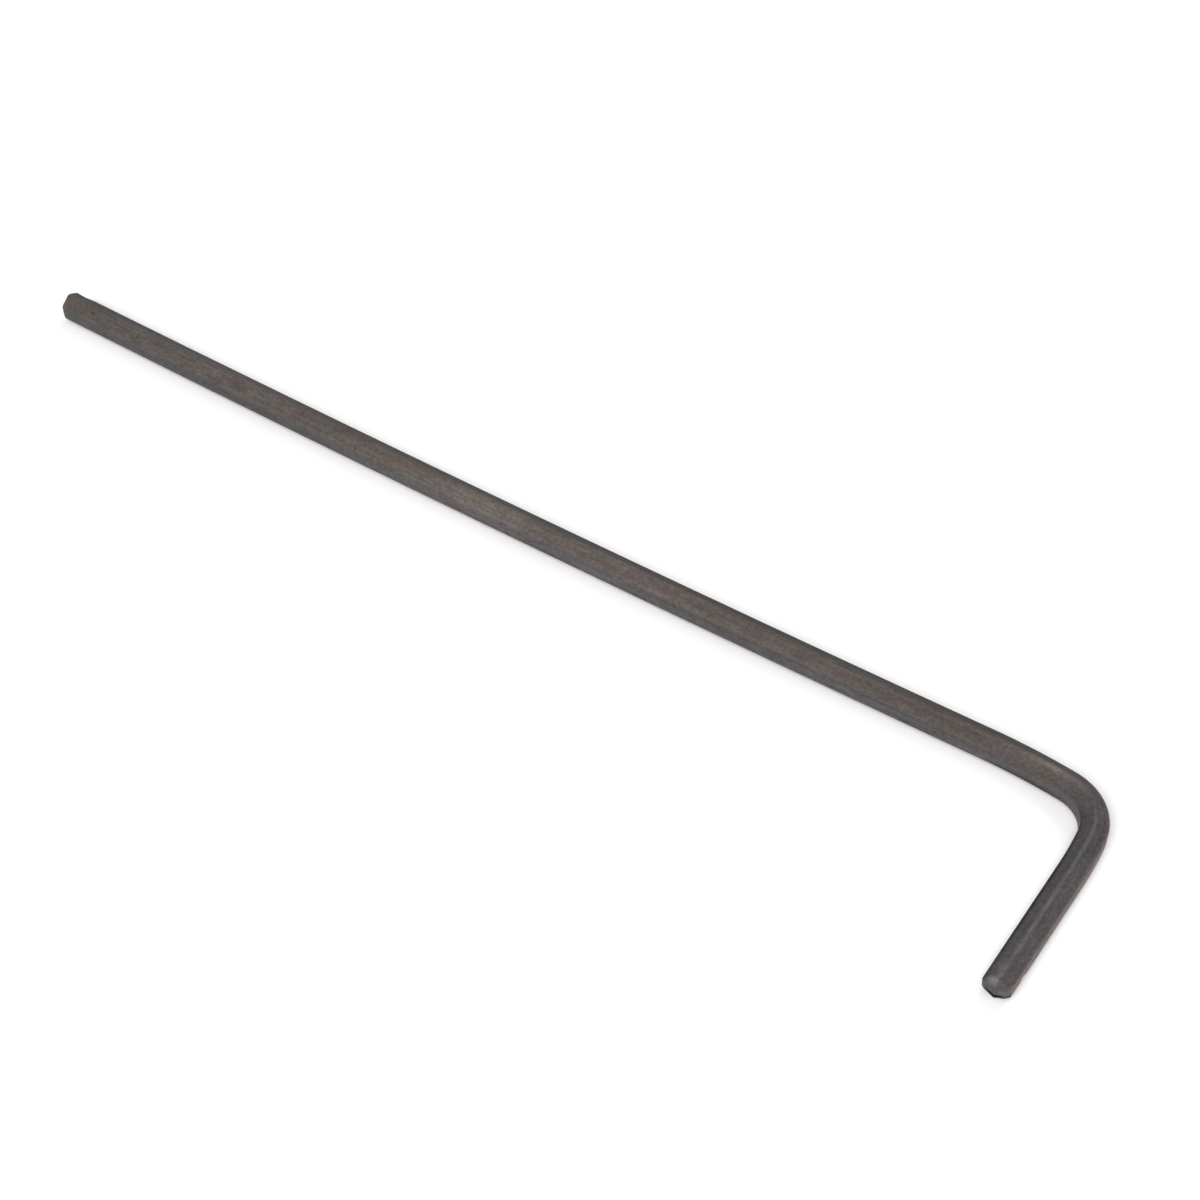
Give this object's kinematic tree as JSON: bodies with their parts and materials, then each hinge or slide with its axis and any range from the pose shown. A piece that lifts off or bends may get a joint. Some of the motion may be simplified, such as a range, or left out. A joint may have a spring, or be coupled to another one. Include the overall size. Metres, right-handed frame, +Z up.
{
  "type": "hex key",
  "caption": "Long-arm hexagon key: a blackened hexagonal steel bar with a rounded right-angle bend and chamfered ends, lying flat on its lower corners.",
  "frame": {"origin": "middle of the rectangle that the lying key covers, on the surface that it lies on", "axes": "+X along the long arm from its free end to the bend, -Y the way the short arm points, +Z up, square to the plane of the L"},
  "size_m": [0.1146, 0.0238, 0.0028],
  "materials": {
    "blackened_steel": "satin"
  },
  "bodies": {
    "root": {"hex_key": "blackened_steel"}
  },
  "joints": []
}
